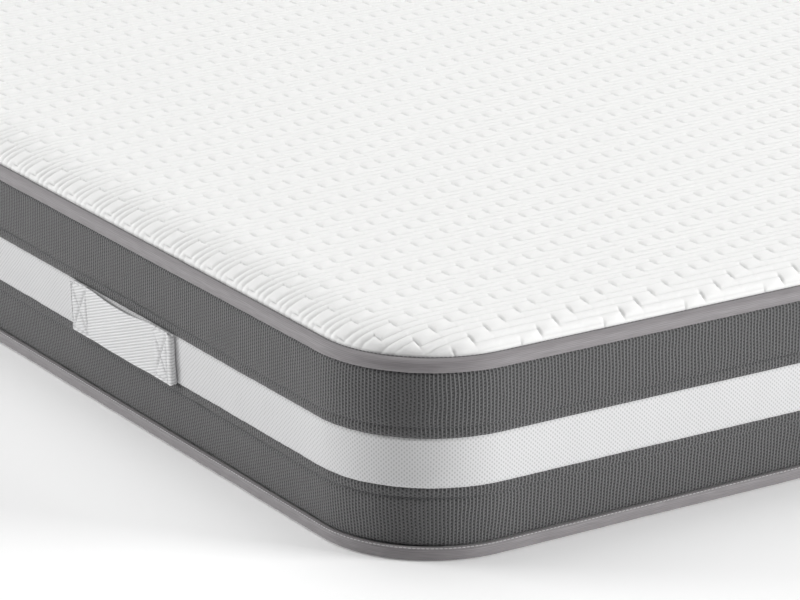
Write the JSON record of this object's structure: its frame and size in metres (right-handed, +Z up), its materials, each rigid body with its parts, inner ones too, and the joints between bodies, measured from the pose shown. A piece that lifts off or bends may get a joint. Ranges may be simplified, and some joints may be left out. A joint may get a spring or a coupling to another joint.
{
  "type": "memory foam mattress",
  "caption": "Memory foam mattress with a crowned quilted knit top, a two-tone mesh border, bound edges and webbing carrying handles.",
  "frame": {"origin": "on the floor under the middle of the mattress", "axes": "+Y along the mattress's length, +X across its width, +Z up through the sleeping surface"},
  "size_m": [1.4142, 2.0004, 0.22],
  "materials": {
    "quilted_knit": "matte",
    "wadding": "matte",
    "scrim": "matte",
    "binding_tape": "satin",
    "grey_thread": "satin",
    "white_thread": "satin",
    "grey_mesh": "matte",
    "white_mesh": "matte",
    "felt_lining": "matte",
    "base_cloth": "matte",
    "liner_knit": "matte",
    "white_webbing": "matte",
    "support_foam": "matte",
    "transition_foam": "matte",
    "memory_foam": "matte"
  },
  "bodies": {
    "root": {"top_panel_knit": "quilted_knit", "top_panel_wadding": "wadding", "top_panel_scrim": "scrim", "tape_edge_top": "binding_tape", "top_tape_thread": "grey_thread", "border_mesh_upper": "grey_mesh", "upper_strip_thread": "grey_thread", "border_band_centre": "white_mesh", "border_mesh_lower": "grey_mesh", "lower_strip_thread": "grey_thread", "tape_edge_bottom": "binding_tape", "bottom_tape_thread": "grey_thread", "border_lining": "felt_lining", "bottom_panel": "base_cloth", "core_liner": "liner_knit", "support_foam_base": "support_foam", "transition_foam_layer": "transition_foam", "memory_foam_layer": "memory_foam", "handle_1_sewn_ends": "white_webbing", "handle_1_box_stitching": "white_thread", "handle_1_backing_patches": "felt_lining", "handle_1_legs": "white_webbing", "handle_2_sewn_ends": "white_webbing", "handle_2_box_stitching": "white_thread", "handle_2_backing_patches": "felt_lining", "handle_2_legs": "white_webbing", "handle_3_sewn_ends": "white_webbing", "handle_3_box_stitching": "white_thread", "handle_3_backing_patches": "felt_lining", "handle_3_legs": "white_webbing", "handle_4_sewn_ends": "white_webbing", "handle_4_box_stitching": "white_thread", "handle_4_backing_patches": "felt_lining", "handle_4_legs": "white_webbing"},
    "handle_1_strap": {"handle_1_grip": "white_webbing"},
    "handle_2_strap": {"handle_2_grip": "white_webbing"},
    "handle_3_strap": {"handle_3_grip": "white_webbing"},
    "handle_4_strap": {"handle_4_grip": "white_webbing"}
  },
  "joints": [
    {"name": "handle_1_pull", "type": "slide", "parent": "root", "child": "handle_1_strap", "axis": [-1, 0, 0], "range_m": [0, 0.02], "stiffness_N_per_m": 20, "deforming": ["handle_1_legs"]},
    {"name": "handle_2_pull", "type": "slide", "parent": "root", "child": "handle_2_strap", "axis": [-1, 0, 0], "range_m": [0, 0.02], "stiffness_N_per_m": 20, "deforming": ["handle_2_legs"]},
    {"name": "handle_3_pull", "type": "slide", "parent": "root", "child": "handle_3_strap", "axis": [1, 0, 0], "range_m": [0, 0.02], "stiffness_N_per_m": 20, "deforming": ["handle_3_legs"]},
    {"name": "handle_4_pull", "type": "slide", "parent": "root", "child": "handle_4_strap", "axis": [1, 0, 0], "range_m": [0, 0.02], "stiffness_N_per_m": 20, "deforming": ["handle_4_legs"]}
  ]
}
